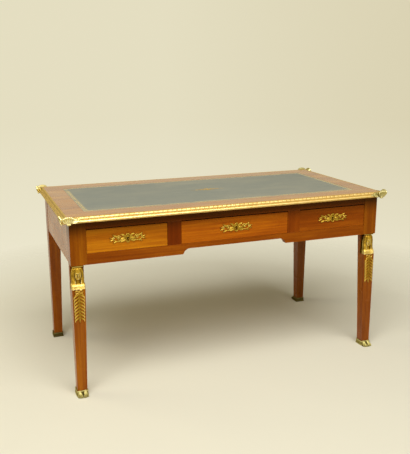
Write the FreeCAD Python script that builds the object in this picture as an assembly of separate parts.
"""Bureau plat in the Empire taste: a mahogany writing table with a leather top, three frieze drawers,
square tapering legs and gilt bronze mounts.

Millimetres, +Z up. The origin is on the floor under the middle of the desk, and the drawers open towards -Y.
Each function returns the solids of one piece, and every piece is written to parts/ under its own name.
"""

import FreeCAD
import Part
import math
import os

from FreeCAD import Vector

# Overall sizes
HEIGHT = 760.0                 # writing surface above the floor
TOP_LENGTH = 1470.0            # over the edge mouldings
TOP_DEPTH = 740.0
OVERHANG = 25.0                # of the top past the frieze, all round
FRIEZE_BOTTOM = 560.0
MOULDING_HEIGHT = 24.0
MOULDING_WIDTH = 20.0
LEATHER_BORDER = 102.0         # from the outer edge of the top to the leather
LEATHER_THICKNESS = 1.5

# Frame
POST = 66.0                    # square corner post inside the frieze
LEG_TOP = 57.0                 # square leg just under the frieze
LEG_FOOT = 40.0                # square leg at its foot
APRON = 22.0                   # thickness of the side and back aprons
REVEAL = 1.0                   # rails and aprons stand back this far from the posts
TENON = 28.0                   # tenon length
TENON_THICK = 8.0
SHOULDER = 20.0                # above and below an apron's tenon

# Drawer openings
DRAWER_BOTTOM = 605.0
DRAWER_TOP = 705.0
STILE = 60.0                   # upright between two drawers
MIDDLE_HALF = 248.0            # half the width of the middle opening
UPPER_RAIL_DEPTH = 59.0
LOWER_RAIL_THICK = 30.0
ARCH_HALF = 240.0              # half the width of the cut-out under the middle drawer
ARCH_RISE = 23.0
ARCH_CURVE = 36.0              # length of the curve at either end of it
STUB = 10.0                    # stub tenons of the stiles
STUB_INSET = 14.0              # from the side of a stile to its stub tenon
RUNNER_THICK = 20.0
RUNNER_STUB = 8.0
GUIDE_HEIGHT = 35.0
BEARING = 14.0                 # how far a runner reaches under a drawer
KICKER_GAP = 2.0               # between the drawer sides and the kickers

# Drawers
GAP_SIDE = 1.0
GAP_TOP = 4.0
GAP_BOTTOM = 0.8
SETBACK = 1.5                  # of the drawer fronts behind the rails
FRONT_THICK = 20.5
SIDE_THICK = 12.0
BACK_THICK = 12.0
BOTTOM_THICK = 6.0
BOTTOM_RISE = 6.0              # drawer bottom above the running edge
GROOVE = 5.0
SIDE_HEIGHT = 95.0
BACK_HEIGHT = 77.0
DRAWER_REAR = 290.0            # rear end of the drawer sides, along Y
TAILS = 4
TAIL_LENGTH = 14.0
TAIL_ROOT = 14.0
TAIL_END = 18.0
STOP = (30.0, 8.0, 5.5)        # stop block: width, depth, height

# Locks
LOCK_WIDTH = 70.0
LOCK_HEIGHT = 62.0
LOCK_DEPTH = 12.0
BOLT_WIDTH = 24.0
BOLT_THICK = 5.0
BOLT_LENGTH = 30.0
BOLT_THROW = 9.0
BOLT_SLACK = 0.1
STRIKE_SLACK = 2.0
KEY_HEIGHT = 655.0
KEY_RADIUS = 4.5
KEY_SLOT = 5.0
KEY_DROP = 11.5
KEY_PIN_RADIUS = 2.0
KEY_DEPTH = 8.0

# Bronzes on the legs
NOTCH_DEPTH = 34.0             # the leg is cut back this far for the bust
NOTCH_BOTTOM = 462.0
DROP_TOP = 460.0
DROP_BOTTOM = 320.0
DROP_PAIRS = 8
SABOT_HEIGHT = 22.0
SABOT_WALL = 3.0
SABOT_FLARE = 2.0
SOLE = 4.0
TOE_REACH = 30.0

# Values that follow from the sizes above
HALF_TOP_X = TOP_LENGTH / 2
HALF_TOP_Y = TOP_DEPTH / 2
HALF_X = HALF_TOP_X - OVERHANG
HALF_Y = HALF_TOP_Y - OVERHANG
UNDERSIDE = HEIGHT - MOULDING_HEIGHT
BAY_X = HALF_X - POST          # inner face of the corner posts
BAY_Y = HALF_Y - POST
SIDE_INNER = MIDDLE_HALF + STILE
FACE_Y = -HALF_Y + REVEAL      # face of the rails
DRAWER_FACE = FACE_Y + SETBACK
APRON_IN_X = HALF_X - REVEAL - APRON
APRON_IN_Y = HALF_Y - REVEAL - APRON
RAIL_BACK = FACE_Y + LOWER_RAIL_THICK
FRONT_BACK = DRAWER_FACE + FRONT_THICK
FRONT_TOP = DRAWER_TOP - GAP_TOP
DRAWERS = {
    "left": (-BAY_X, -SIDE_INNER),
    "middle": (-MIDDLE_HALF, MIDDLE_HALF),
    "right": (SIDE_INNER, BAY_X),
}


# Small tools for solids

def box(x0, x1, y0, y1, z0, z1):
    return Part.makeBox(x1 - x0, y1 - y0, z1 - z0, Vector(x0, y0, z0))


def prism(points, direction):
    return Part.Face(Part.makePolygon(points + points[:1])).extrude(direction)


def frustum(low, z0, high, z1):
    """Solid between two rectangles (x0, x1, y0, y1), one at z0 and one at z1."""
    def corners(r, z):
        return [Vector(r[0], r[2], z), Vector(r[1], r[2], z), Vector(r[1], r[3], z), Vector(r[0], r[3], z)]

    a, b = corners(low, z0), corners(high, z1)
    rings = [a[::-1], b] + [[a[i], a[(i + 1) % 4], b[(i + 1) % 4], b[i]] for i in range(4)]
    faces = [Part.Face(Part.makePolygon(ring + ring[:1])) for ring in rings]
    return Part.makeSolid(Part.makeShell(faces))


def fused(first, *others):
    return first.multiFuse(list(others)).removeSplitter() if others else first


def flip_x(shape):
    return shape.mirror(Vector(0, 0, 0), Vector(1, 0, 0))


def flip_y(shape):
    return shape.mirror(Vector(0, 0, 0), Vector(0, 1, 0))


# Frame

def side_tenon(sign):
    """Tenon of the right side apron, at its back end (sign 1) or its front end (sign -1)."""
    middle = APRON_IN_X + APRON / 2
    y0, y1 = sorted((sign * BAY_Y, sign * (BAY_Y + TENON)))
    return box(middle - TENON_THICK / 2, middle + TENON_THICK / 2, y0, y1,
               FRIEZE_BOTTOM + SHOULDER, UNDERSIDE - SHOULDER)


def back_tenon():
    middle = APRON_IN_Y + APRON / 2
    return box(BAY_X, BAY_X + TENON, middle - TENON_THICK / 2, middle + TENON_THICK / 2,
               FRIEZE_BOTTOM + SHOULDER, UNDERSIDE - SHOULDER)


def upper_rail_tenon():
    height = UNDERSIDE - DRAWER_TOP
    return box(BAY_X, BAY_X + TENON, FACE_Y + 9, FACE_Y + 34, DRAWER_TOP + height / 4, UNDERSIDE - height / 4)


def lower_rail_tenon():
    middle = FACE_Y + LOWER_RAIL_THICK / 2 - 3
    return box(BAY_X, BAY_X + TENON, middle - TENON_THICK / 2, middle + TENON_THICK / 2,
               FRIEZE_BOTTOM + 8, DRAWER_BOTTOM - 8)


def leg_blank():
    """Back right leg before its mortises: a square post, then a leg that tapers on its two inner faces."""
    post = box(BAY_X, HALF_X, BAY_Y, HALF_Y, FRIEZE_BOTTOM, UNDERSIDE)
    low = (HALF_X - LEG_FOOT, HALF_X, HALF_Y - LEG_FOOT, HALF_Y)
    high = (HALF_X - LEG_TOP, HALF_X, HALF_Y - LEG_TOP, HALF_Y)
    return fused(post, frustum(low, SOLE, high, FRIEZE_BOTTOM))


def back_leg():
    return leg_blank().cut(side_tenon(1)).cut(back_tenon())


def front_leg():
    """Front right leg, cut back below the frieze to make room for the bust."""
    leg = flip_y(leg_blank())
    notch = box(BAY_X - 1, HALF_X + 1, -HALF_Y - 1, -HALF_Y + NOTCH_DEPTH, NOTCH_BOTTOM, FRIEZE_BOTTOM)
    for tenon in (side_tenon(-1), upper_rail_tenon(), lower_rail_tenon(), notch):
        leg = leg.cut(tenon)
    return leg


def side_apron():
    board = box(APRON_IN_X, HALF_X - REVEAL, -BAY_Y, BAY_Y, FRIEZE_BOTTOM, UNDERSIDE)
    return fused(board, side_tenon(1), side_tenon(-1))


def back_apron():
    board = box(-BAY_X, BAY_X, APRON_IN_Y, HALF_Y - REVEAL, FRIEZE_BOTTOM, UNDERSIDE)
    board = fused(board, back_tenon(), flip_x(back_tenon()))
    for stub in (runner_stub(APRON_IN_Y), flip_x(runner_stub(APRON_IN_Y))):
        board = board.cut(stub)
    return board


def stile_stubs():
    x0, x1 = MIDDLE_HALF + STUB_INSET, SIDE_INNER - STUB_INSET
    y0, y1 = FACE_Y + 9, FACE_Y + 19
    return (box(x0, x1, y0, y1, DRAWER_BOTTOM - STUB, DRAWER_BOTTOM),
            box(x0, x1, y0, y1, DRAWER_TOP, DRAWER_TOP + STUB))


def divider_stile():
    body = box(MIDDLE_HALF, SIDE_INNER, FACE_Y, RAIL_BACK, DRAWER_BOTTOM, DRAWER_TOP)
    return fused(body, *stile_stubs())


def upper_front_rail():
    rail = box(-BAY_X, BAY_X, FACE_Y, FACE_Y + UPPER_RAIL_DEPTH, DRAWER_TOP, UNDERSIDE)
    rail = fused(rail, upper_rail_tenon(), flip_x(upper_rail_tenon()))
    stub = stile_stubs()[1]
    rail = rail.cut(stub).cut(flip_x(stub))
    for x0, x1 in DRAWERS.values():
        rail = rail.cut(strike_mortise((x0 + x1) / 2))
    return rail


def lower_front_rail():
    """Rail under the drawers. Its lower edge steps up over the knees, with rounded inner corners."""
    rail = box(-BAY_X, BAY_X, FACE_Y, RAIL_BACK, FRIEZE_BOTTOM, DRAWER_BOTTOM)
    rail = fused(rail, lower_rail_tenon(), flip_x(lower_rail_tenon()))
    stub, runner = stile_stubs()[0], runner_stub(RAIL_BACK - RUNNER_STUB)
    for cut in (stub, flip_x(stub), runner, flip_x(runner), arch()):
        rail = rail.cut(cut)
    return rail


def arch():
    low, high = FRIEZE_BOTTOM - 1, FRIEZE_BOTTOM + ARCH_RISE
    inner = ARCH_HALF - ARCH_CURVE
    half_way = math.sqrt(0.5)
    shoulder_x = inner + ARCH_CURVE * half_way
    shoulder_z = FRIEZE_BOTTOM + ARCH_RISE * half_way
    y = FACE_Y - 1

    def at(x, z):
        return Vector(x, y, z)

    edges = [
        Part.LineSegment(at(-ARCH_HALF, low), at(ARCH_HALF, low)),
        Part.LineSegment(at(ARCH_HALF, low), at(ARCH_HALF, FRIEZE_BOTTOM)),
        Part.Arc(at(ARCH_HALF, FRIEZE_BOTTOM), at(shoulder_x, shoulder_z), at(inner, high)),
        Part.LineSegment(at(inner, high), at(-inner, high)),
        Part.Arc(at(-inner, high), at(-shoulder_x, shoulder_z), at(-ARCH_HALF, FRIEZE_BOTTOM)),
        Part.LineSegment(at(-ARCH_HALF, FRIEZE_BOTTOM), at(-ARCH_HALF, low)),
    ]
    wire = Part.Wire([e.toShape() for e in edges])
    return Part.Face(wire).extrude(Vector(0, LOWER_RAIL_THICK + 2, 0))


def runner_stub(y):
    return box(MIDDLE_HALF + STUB_INSET, SIDE_INNER - STUB_INSET, y, y + RUNNER_STUB,
               DRAWER_BOTTOM - RUNNER_THICK + 3, DRAWER_BOTTOM - 5)


def outer_runner():
    """Right outer runner: a ledge under the drawer with a guide along the apron."""
    low = DRAWER_BOTTOM - RUNNER_THICK
    ledge = box(BAY_X - BEARING, APRON_IN_X, -BAY_Y, BAY_Y, low, DRAWER_BOTTOM)
    ends = box(BAY_X - BEARING, BAY_X, RAIL_BACK, APRON_IN_Y, low, DRAWER_BOTTOM)
    guide = box(BAY_X, APRON_IN_X, -BAY_Y, BAY_Y, DRAWER_BOTTOM, DRAWER_BOTTOM + GUIDE_HEIGHT)
    return fused(ledge, ends, guide)


def inner_runner():
    """Right inner runner: an upside-down T between two drawers, stub-tenoned at both ends."""
    low = DRAWER_BOTTOM - RUNNER_THICK
    ledge = box(MIDDLE_HALF - BEARING, SIDE_INNER + BEARING, RAIL_BACK, APRON_IN_Y, low, DRAWER_BOTTOM)
    guide = box(MIDDLE_HALF, SIDE_INNER, RAIL_BACK, APRON_IN_Y, DRAWER_BOTTOM, DRAWER_BOTTOM + GUIDE_HEIGHT)
    return fused(ledge, guide, runner_stub(RAIL_BACK - RUNNER_STUB), runner_stub(APRON_IN_Y))


def kicker_floor():
    return DRAWER_BOTTOM + SIDE_HEIGHT + KICKER_GAP


def outer_kickers():
    bar = box(BAY_X - BEARING, APRON_IN_X, -BAY_Y, BAY_Y, kicker_floor(), UNDERSIDE)
    return Part.makeCompound([flip_x(bar), bar])


def inner_kickers():
    front = FACE_Y + UPPER_RAIL_DEPTH
    bar = box(MIDDLE_HALF - BEARING, SIDE_INNER + BEARING, front, APRON_IN_Y, kicker_floor(), UNDERSIDE)
    return Part.makeCompound([flip_x(bar), bar])


def drawer_stops():
    """Two blocks behind each drawer front, on the lower rail."""
    width, depth, height = STOP
    blocks = []
    for x0, x1 in DRAWERS.values():
        for x in (x0 + (x1 - x0) / 4, x1 - (x1 - x0) / 4):
            blocks.append(box(x - width / 2, x + width / 2, RAIL_BACK - depth, RAIL_BACK,
                              DRAWER_BOTTOM, DRAWER_BOTTOM + height))
    return Part.makeCompound(blocks)


# Top

def leather_area(z0, z1):
    x, y = HALF_TOP_X - LEATHER_BORDER, HALF_TOP_Y - LEATHER_BORDER
    return box(-x, x, -y, y, z0, z1)


def top_board():
    x, y = HALF_TOP_X - MOULDING_WIDTH, HALF_TOP_Y - MOULDING_WIDTH
    board = box(-x, x, -y, y, UNDERSIDE, HEIGHT)
    return board.cut(leather_area(HEIGHT - LEATHER_THICKNESS, HEIGHT + 1))


def leather_panel():
    return leather_area(HEIGHT - LEATHER_THICKNESS, HEIGHT)


def moulding_profile(place):
    """Section of the edge moulding, from its seat on the board outwards: a round lip under an ovolo."""
    lip = MOULDING_HEIGHT / 4
    seat = MOULDING_WIDTH - lip
    neck = 2 * lip + 1.5
    shelf = MOULDING_WIDTH * 0.28
    edges = [
        Part.LineSegment(place(0, 0), place(seat, 0)),
        Part.Arc(place(seat, 0), place(MOULDING_WIDTH, lip), place(seat, 2 * lip)),
        Part.LineSegment(place(seat, 2 * lip), place(seat, neck)),
        Part.Arc(place(seat, neck), place(seat * 0.86, MOULDING_HEIGHT * 0.83), place(shelf, MOULDING_HEIGHT)),
        Part.LineSegment(place(shelf, MOULDING_HEIGHT), place(0, MOULDING_HEIGHT)),
        Part.LineSegment(place(0, MOULDING_HEIGHT), place(0, 0)),
    ]
    return Part.Face(Part.Wire([e.toShape() for e in edges]))


def edge_moulding(long_side):
    """Moulding along the back (long_side) or the right end, mitred at both corners."""
    x, y, w = HALF_TOP_X, HALF_TOP_Y, MOULDING_WIDTH
    if long_side:
        bar = moulding_profile(lambda u, v: Vector(-x, y - w + u, UNDERSIDE + v)).extrude(Vector(2 * x, 0, 0))
        plan = [(-x, y), (x, y), (x - w, y - w), (-x + w, y - w)]
    else:
        bar = moulding_profile(lambda u, v: Vector(x - w + u, -y, UNDERSIDE + v)).extrude(Vector(0, 2 * y, 0))
        plan = [(x, -y), (x, y), (x - w, y - w), (x - w, -y + w)]
    mitre = prism([Vector(a, b, UNDERSIDE - 1) for a, b in plan], Vector(0, 0, MOULDING_HEIGHT + 2))
    return bar.common(mitre)


# Corner mounts

SHELL_RIBS = 5                 # in each of the two fans of the shell
SHELL_HEART = 30.0             # middle of the shell's curve, inwards from both edges of the top
SHELL_SQUARE = 4.0             # exponent of its rounded-square plan
SHELL_SPAN = 64.0              # degrees that a fan covers at its rim
SHELL_FLUTE = 1.8              # how far a rib stands out between two grooves
SHELL_SECTIONS = (             # height against the top, front and back against the edge, share of the span
    (-22.0, 5.0, -6.0, 0.45),
    (1.0, 11.0, -9.0, 0.95),
    (8.0, 9.0, 3.0, 0.90),
)
HINGE = (-24.0, 2.5, 8.0, 4.0)                  # height, place outwards, half length, radius
WING = ((32.0, 25.0, 6.0), (78.0, 6.0, 1.0))    # ends of a leaf: place along the edge, height, relief
WING_MIDDLE = 11.0
WING_SEAT = 3.0


def shell_point(degrees, stand, z):
    """Point that stands out from the edge of the top by the back right corner, by its direction from the heart."""
    angle = math.radians(degrees)
    cos, sin = math.cos(angle), math.sin(angle)
    size = (abs(cos) ** SHELL_SQUARE + abs(sin) ** SHELL_SQUARE) ** (-1 / SHELL_SQUARE)
    reach = (SHELL_HEART + stand) * size
    return Vector(HALF_TOP_X - SHELL_HEART + reach * cos, HALF_TOP_Y - SHELL_HEART + reach * sin, HEIGHT + z)


def shell_section(z, front, back, share):
    """Level section of the shell: a fan of ribs on either side of the corner, and a plain back."""
    step = SHELL_SPAN * share / SHELL_RIBS
    low, high = 45 - SHELL_SPAN / 2, 45 + SHELL_SPAN / 2
    points = []
    for foot in (low, high):
        first = foot - step * SHELL_RIBS / 2
        for i in range(SHELL_RIBS):
            points.append(shell_point(first + step * i, front, z))
            points.append(shell_point(first + step * (i + 0.5), front + SHELL_FLUTE, z))
        points.append(shell_point(first + step * SHELL_RIBS, front, z))
        if foot == low:
            points.append(shell_point(45, front * 0.6, z))
    ends = (high + SHELL_SPAN * share / 2, 45, low - SHELL_SPAN * share / 2)
    points += [shell_point(turn, back, z) for turn in ends]
    return Part.makePolygon(points + points[:1])


def shell_hinge():
    """Roll at the foot of the fan on the right side, where its ribs meet."""
    z, out, half, radius = HINGE
    centre = shell_point(45 - SHELL_SPAN / 2, out, z)
    return Part.makeCylinder(radius, 2 * half, centre - Vector(0, half, 0), Vector(0, 1, 0))


def wing_section(along, height, relief):
    """Section of the leaf across the back moulding, this far from the corner: flat sides up to a keel."""
    x, inner = HALF_TOP_X - along, HALF_TOP_Y - WING_SEAT
    middle = UNDERSIDE + WING_MIDDLE
    outline = [(inner, -0.5), (HALF_TOP_Y + relief / 2, -0.4), (HALF_TOP_Y + relief, 0),
               (HALF_TOP_Y + relief / 2, 0.4), (inner, 0.5)]
    points = [Vector(x, y, middle + height * share) for y, share in outline]
    return Part.makePolygon(points + points[:1])


def corner_mount():
    """Back right corner: a shell of two fans with a leaf along each edge, hollowed to sit on both mouldings."""
    shell = Part.makeLoft([shell_section(*s) for s in SHELL_SECTIONS], True, True)
    pieces = [shell_hinge(), Part.makeLoft([wing_section(*s) for s in WING], True, True)]
    pieces += [p.mirror(Vector(HALF_TOP_X, HALF_TOP_Y, HEIGHT), Vector(1, -1, 0).normalize()) for p in pieces]
    seat = box(0, HALF_TOP_X, 0, HALF_TOP_Y, UNDERSIDE, HEIGHT)
    return shell.fuse(pieces).cut(seat)


# Bronzes on the legs

def foot_section(x, y, width, height):
    """Upright section of one foot: a flat sole, straight sides and an arched back."""
    outline = [(-0.5, 0), (0.5, 0), (0.5, 0.5), (0.3, 0.88), (0, 1), (-0.3, 0.88), (-0.5, 0.5)]
    points = [Vector(x + width * across, y, height * up) for across, up in outline]
    return Part.makePolygon(points + points[:1])


def sabot():
    """Back right sabot: a shoe round the end of the leg, with a pair of bare feet that point outwards."""
    wall, wide = SABOT_WALL, SABOT_WALL + SABOT_FLARE
    inner_x, inner_y = HALF_X - LEG_FOOT, HALF_Y - LEG_FOOT
    low = (inner_x - wide, HALF_X + wide, inner_y - wide, HALF_Y + wide)
    high = (inner_x - wall, HALF_X + wall, inner_y - wall, HALF_Y + wall)
    shoe = frustum(low, 0, high, SABOT_HEIGHT)
    middle = HALF_X - LEG_FOOT / 2
    start = HALF_Y - LEG_FOOT / 4
    steps = ((0.0, 0.84, 25.0), (0.42, 0.90, 21.0), (0.90, 1.0, 10.0), (1.0, 0.7, 5.0))
    length = HALF_Y + TOE_REACH - start
    width = LEG_FOOT / 2 + 2
    feet = []
    for side in (-1, 1):
        x = middle + side * (width / 2 + 0.6)
        rings = [foot_section(x, start + s * length, w * width, h) for s, w, h in steps]
        feet.append(Part.makeLoft(rings, True, True))
    return fused(shoe, *feet).cut(leg_blank())


def head_profile(x, y):
    """Egg-shaped head, turned about a vertical axis through x, y."""
    chin, jaw, brow, crown = 499.0, 508.0, 527.0, 550.0
    jaw_r, brow_r = 12.5, 16.0

    def at(r, z):
        return Vector(x + r, y, z)

    lower = Part.Arc(at(0, chin), at(jaw_r * 0.72, chin + 3), at(jaw_r, jaw)).toShape()
    cheek = Part.Arc(at(jaw_r, jaw), at(brow_r - 1.6, (jaw + brow) / 2), at(brow_r, brow)).toShape()
    upper = Part.Arc(at(brow_r, brow), at(brow_r * 0.74, crown - 7), at(0, crown)).toShape()
    axis = Part.makeLine(at(0, crown), at(0, chin))
    face = Part.Face(Part.Wire([lower, cheek, upper, axis]))
    return face.revolve(Vector(x, y, 0), Vector(0, 0, 1), 360)


def hood_section(x, back, z, half, depth):
    """Section of the striped head-cloth: square behind, round in front."""
    side = depth * 0.45
    left, right = x - half, x + half
    points = [Vector(left, back, z), Vector(left, back - side, z), Vector(right, back - side, z), Vector(right, back, z)]
    front = Part.Arc(points[1], Vector(x, back - depth, z), points[2]).toShape()
    return Part.Wire([Part.makeLine(points[0], points[1]), front, Part.makeLine(points[2], points[3]),
                      Part.makeLine(points[3], points[0])])


def bust():
    """Front right bust: chest, neck, head and head-cloth, in the notch under the frieze."""
    back = -HALF_Y + NOTCH_DEPTH
    x, y = HALF_X - LEG_TOP / 2 + 1.5, -HALF_Y + 17.5
    chest = box(HALF_X - 57, HALF_X, -HALF_Y - 3, back, NOTCH_BOTTOM, NOTCH_BOTTOM + 22)
    rounded = [e for e in chest.Edges if e.BoundBox.YMax < back and e.BoundBox.ZMax > NOTCH_BOTTOM + 1]
    chest = chest.makeFillet(7.0, rounded)
    neck = Part.makeCylinder(9.5, 24, Vector(x, y, NOTCH_BOTTOM + 18))
    hood = Part.makeLoft([
        hood_section(x, back, NOTCH_BOTTOM + 16, 25.0, 24.0),
        hood_section(x, back, 532.0, 24.0, 28.0),
        hood_section(x, back, 548.0, 20.0, 27.0),
        hood_section(x, back, 556.0, 15.0, 24.0),
    ], True, True)
    nose = frustum((x - 3, x + 3, y - 18.5, y - 10), 516.0, (x - 1.2, x + 1.2, y - 16, y - 10), 529.0)
    cap = box(x - 22, x + 22, -HALF_Y + 4, back, 554.0, FRIEZE_BOTTOM)
    return fused(chest, neck, head_profile(x, y), hood, nose, cap)


def lens_wire(root, angle, length, width, y):
    """Leaf outline in a plane of constant y, from its root at an angle above +X."""
    ahead = Vector(math.cos(angle), 0, math.sin(angle))
    aside = Vector(-math.sin(angle), 0, math.cos(angle))
    start = Vector(root[0], y, root[1])
    tip, middle = start + ahead * length, start + ahead * (length * 0.45)
    return Part.Wire([Part.Arc(start, middle + aside * (width / 2), tip).toShape(),
                      Part.Arc(tip, middle - aside * (width / 2), start).toShape()])


def leaf(root, degrees, length, width, y, relief):
    """Bronze leaf in low relief, standing out towards -Y from its seat at y."""
    outline = lens_wire(root, math.radians(degrees), length, width, y)
    return Part.Face(outline).extrude(Vector(0, -relief, 0))


def ring(x, z, radius, wire, y, relief):
    """Flat ring standing out towards -Y from its seat at y."""
    ahead = Vector(0, -1, 0)
    outer = Part.makeCylinder(radius + wire, relief, Vector(x, y, z), ahead)
    return outer.cut(Part.makeCylinder(radius - wire, relief, Vector(x, y, z), ahead))


def leaf_drop():
    """Laurel fall on the front right leg: a stem with pairs of leaves under a bow."""
    y = -HALF_Y
    x = HALF_X - LEG_TOP / 2
    relief = 4.0
    stem = box(x - 1.6, x + 1.6, y - relief, y, DROP_BOTTOM + 14, DROP_TOP - 4)
    pieces = [leaf((x, DROP_TOP - 16), turn, 22.0, 10.0, y, relief) for turn in (38, 142)]
    step = (DROP_TOP - 18 - DROP_BOTTOM - 24) / (DROP_PAIRS - 1)
    for i in range(DROP_PAIRS):
        z = DROP_TOP - 18 - i * step
        length = 28.0 - 0.5 * i
        pieces += [leaf((x - 1, z), 225, length, 6.6, y, relief), leaf((x + 1, z), 315, length, 6.6, y, relief)]
    pieces.append(leaf((x, DROP_BOTTOM + 20), 270, 20.0, 7.0, y, relief))
    return fused(stem, *pieces)


# Drawers

def keyhole(x, y0, y1, radius, slot):
    hole = Part.makeCylinder(radius, y1 - y0, Vector(x, y0, KEY_HEIGHT), Vector(0, 1, 0))
    return hole.fuse(box(x - slot / 2, x + slot / 2, y0, y1, KEY_HEIGHT - KEY_DROP, KEY_HEIGHT)).removeSplitter()


def lock_space(x):
    return box(x - LOCK_WIDTH / 2, x + LOCK_WIDTH / 2, FRONT_BACK - LOCK_DEPTH, FRONT_BACK,
               FRONT_TOP - LOCK_HEIGHT, FRONT_TOP)


def bolt_space(x, slack, low, high):
    y = FRONT_BACK - LOCK_DEPTH / 2
    return box(x - BOLT_WIDTH / 2 - slack, x + BOLT_WIDTH / 2 + slack, y - BOLT_THICK / 2 - slack,
               y + BOLT_THICK / 2 + slack, low, high)


def lock_bolt(x):
    return bolt_space(x, 0.0, FRONT_TOP - 1 - BOLT_LENGTH, FRONT_TOP - 1)


def strike_mortise(x):
    return bolt_space(x, STRIKE_SLACK, DRAWER_TOP, FRONT_TOP + BOLT_THROW + STRIKE_SLACK)


def lock_case(x):
    """Brass lock let into the drawer front, with a key pin in its keyhole and a channel for the bolt."""
    front = FRONT_BACK - LOCK_DEPTH
    case = lock_space(x).cut(bolt_space(x, BOLT_SLACK, FRONT_TOP - 1 - BOLT_LENGTH, FRONT_TOP + 1))
    case = case.cut(keyhole(x, front - 1, front + KEY_DEPTH, KEY_RADIUS, KEY_SLOT))
    pin = Part.makeCylinder(KEY_PIN_RADIUS, KEY_DEPTH, Vector(x, front, KEY_HEIGHT), Vector(0, 1, 0))
    return case.fuse(pin).removeSplitter()


def tails(x0, x1):
    """Dovetails on the front end of a drawer side."""
    pitch = SIDE_HEIGHT / TAILS
    solids = []
    for i in range(TAILS):
        z = DRAWER_BOTTOM + pitch * (i + 0.5)
        outline = [(FRONT_BACK, z - TAIL_ROOT / 2), (FRONT_BACK - TAIL_LENGTH, z - TAIL_END / 2),
                   (FRONT_BACK - TAIL_LENGTH, z + TAIL_END / 2), (FRONT_BACK, z + TAIL_ROOT / 2)]
        solids.append(prism([Vector(x0, a, b) for a, b in outline], Vector(x1 - x0, 0, 0)))
    return solids


def drawer(opening):
    """The six wooden and brass pieces of one drawer and its lock bolt, by their short names."""
    left, right = opening[0] + GAP_SIDE, opening[1] - GAP_SIDE
    middle = (left + right) / 2
    floor = DRAWER_BOTTOM + BOTTOM_RISE
    inside = (left + SIDE_THICK, right - SIDE_THICK)
    bottom = box(inside[0] - GROOVE, inside[1] + GROOVE, FRONT_BACK - GROOVE, DRAWER_REAR,
                 floor, floor + BOTTOM_THICK)
    front = box(left, right, DRAWER_FACE, FRONT_BACK, DRAWER_BOTTOM + GAP_BOTTOM, FRONT_TOP)
    pieces = {}
    for name, (x0, x1) in {"left_side": (left, inside[0]), "right_side": (inside[1], right)}.items():
        joints = tails(x0, x1)
        board = box(x0, x1, FRONT_BACK, DRAWER_REAR, DRAWER_BOTTOM, DRAWER_BOTTOM + SIDE_HEIGHT)
        pieces[name] = fused(board, *joints).cut(bottom)
        for joint in joints:
            front = front.cut(joint)
    pieces["front"] = front.cut(bottom).cut(lock_space(middle)).cut(
        keyhole(middle, DRAWER_FACE - 1, FRONT_BACK, KEY_RADIUS, KEY_SLOT))
    pieces["back"] = box(inside[0], inside[1], DRAWER_REAR - BACK_THICK, DRAWER_REAR,
                         floor + BOTTOM_THICK, floor + BOTTOM_THICK + BACK_HEIGHT)
    pieces["bottom"] = bottom
    pieces["lock_case"] = lock_case(middle)
    pieces["lock_bolt"] = lock_bolt(middle)
    pieces["escutcheon"] = escutcheon(middle)
    return pieces


def escutcheon(x):
    """Gilt plate round the keyhole: an oval shield between two leafy scrolls."""
    y, z, relief = DRAWER_FACE, KEY_HEIGHT, 3.6
    shield = Part.Ellipse(Vector(x, y, z + 23), Vector(x + 12, y, z + 2), Vector(x, y, z + 2)).toShape()
    plate = Part.Face(Part.Wire([shield])).extrude(Vector(0, -relief, 0))
    side = [
        leaf((x + 8, z - 3), 14, 32.0, 13.0, y, relief),
        leaf((x + 34, z - 4), 4, 44.0, 11.0, y, relief),
        leaf((x + 42, z - 1), 40, 32.0, 8.0, y, relief),
        leaf((x + 52, z - 3), -18, 24.0, 7.0, y, relief),
        ring(x + 36, z + 2, 9.0, 2.6, y, relief),
    ]
    other = [s.mirror(Vector(x, 0, 0), Vector(1, 0, 0)) for s in side]
    return fused(plate, *side, *other).cut(keyhole(x, y - relief - 1, y + 1, KEY_RADIUS, KEY_SLOT))


# Assembly

def corners(name, back_right):
    """A piece of the back right corner, repeated at all four corners."""
    return {
        "front_left_" + name: flip_x(flip_y(back_right)),
        "front_right_" + name: flip_y(back_right),
        "back_left_" + name: flip_x(back_right),
        "back_right_" + name: back_right,
    }


def pair(prefix, name, right):
    return {prefix + "left_" + name: flip_x(right), prefix + "right_" + name: right}


def build():
    pieces = {}
    pieces.update(pair("front_", "leg", front_leg()))
    pieces.update(pair("back_", "leg", back_leg()))
    pieces.update(pair("", "side_apron", side_apron()))
    pieces["back_apron"] = back_apron()
    pieces["upper_front_rail"] = upper_front_rail()
    pieces["lower_front_rail"] = lower_front_rail()
    pieces.update(pair("", "divider_stile", divider_stile()))
    pieces.update(pair("", "outer_runner", outer_runner()))
    pieces.update(pair("", "inner_runner", inner_runner()))
    pieces["outer_kickers"] = outer_kickers()
    pieces["inner_kickers"] = inner_kickers()
    pieces["drawer_stops"] = drawer_stops()
    pieces["top_board"] = top_board()
    pieces["leather_panel"] = leather_panel()
    pieces["back_edge_moulding"] = edge_moulding(True)
    pieces["front_edge_moulding"] = flip_y(edge_moulding(True))
    pieces.update(pair("", "edge_moulding", edge_moulding(False)))
    pieces.update(corners("corner_mount", corner_mount()))
    pieces.update(corners("sabot", sabot()))
    pieces.update(pair("front_", "bust", bust()))
    pieces.update(pair("front_", "leaf_drop", leaf_drop()))
    for place, opening in DRAWERS.items():
        for name, shape in drawer(opening).items():
            pieces[place + "_drawer_" + name] = shape
    return pieces


def main():
    os.makedirs("parts", exist_ok=True)
    for name, shape in build().items():
        shape.exportStep(os.path.join("parts", name + ".step"))


if __name__ == "__main__":
    main()
